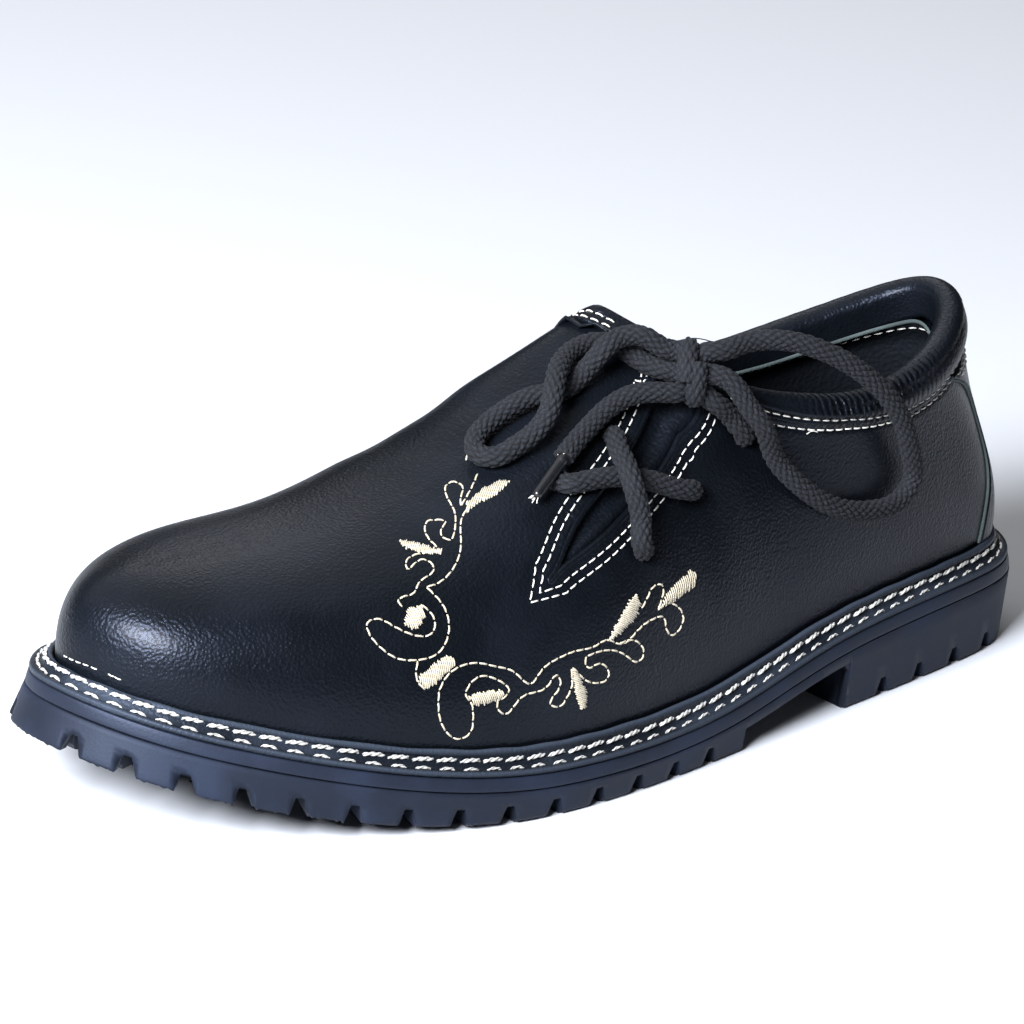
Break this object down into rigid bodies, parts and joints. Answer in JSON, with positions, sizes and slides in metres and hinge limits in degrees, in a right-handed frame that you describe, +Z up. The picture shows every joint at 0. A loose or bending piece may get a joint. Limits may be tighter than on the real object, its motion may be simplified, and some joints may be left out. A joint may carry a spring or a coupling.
{
  "type": "side-laced leather shoe",
  "caption": "Left leather shoe, side-laced over a tongue, with padded collar, back strap, stitched welt and lugged rubber sole, standing empty.",
  "frame": {"origin": "middle of the sole's length and width, on the floor", "axes": "+X from toe to heel, +Y from the outer (laced) side to the inner side, +Z up"},
  "size_m": [0.3005, 0.1118, 0.1059],
  "materials": {
    "leather": "smooth, semi-gloss",
    "rubber": "matt",
    "welt_leather": "dyed edge, satin",
    "insole_leather": "matt",
    "lace": "round braid",
    "aglet": "smooth"
  },
  "bodies": {
    "root": {"outsole": "rubber", "midsole": "welt_leather", "welt": "welt_leather", "insole": "insole_leather", "upper": "leather", "tongue": "leather", "back_strap": "leather", "lace_crossing": "lace", "lace_knot": "lace", "lace_stub": "lace", "lace_loop_front": "lace", "lace_loop_back": "lace", "lace_end": "lace", "aglet": "aglet"}
  },
  "joints": []
}
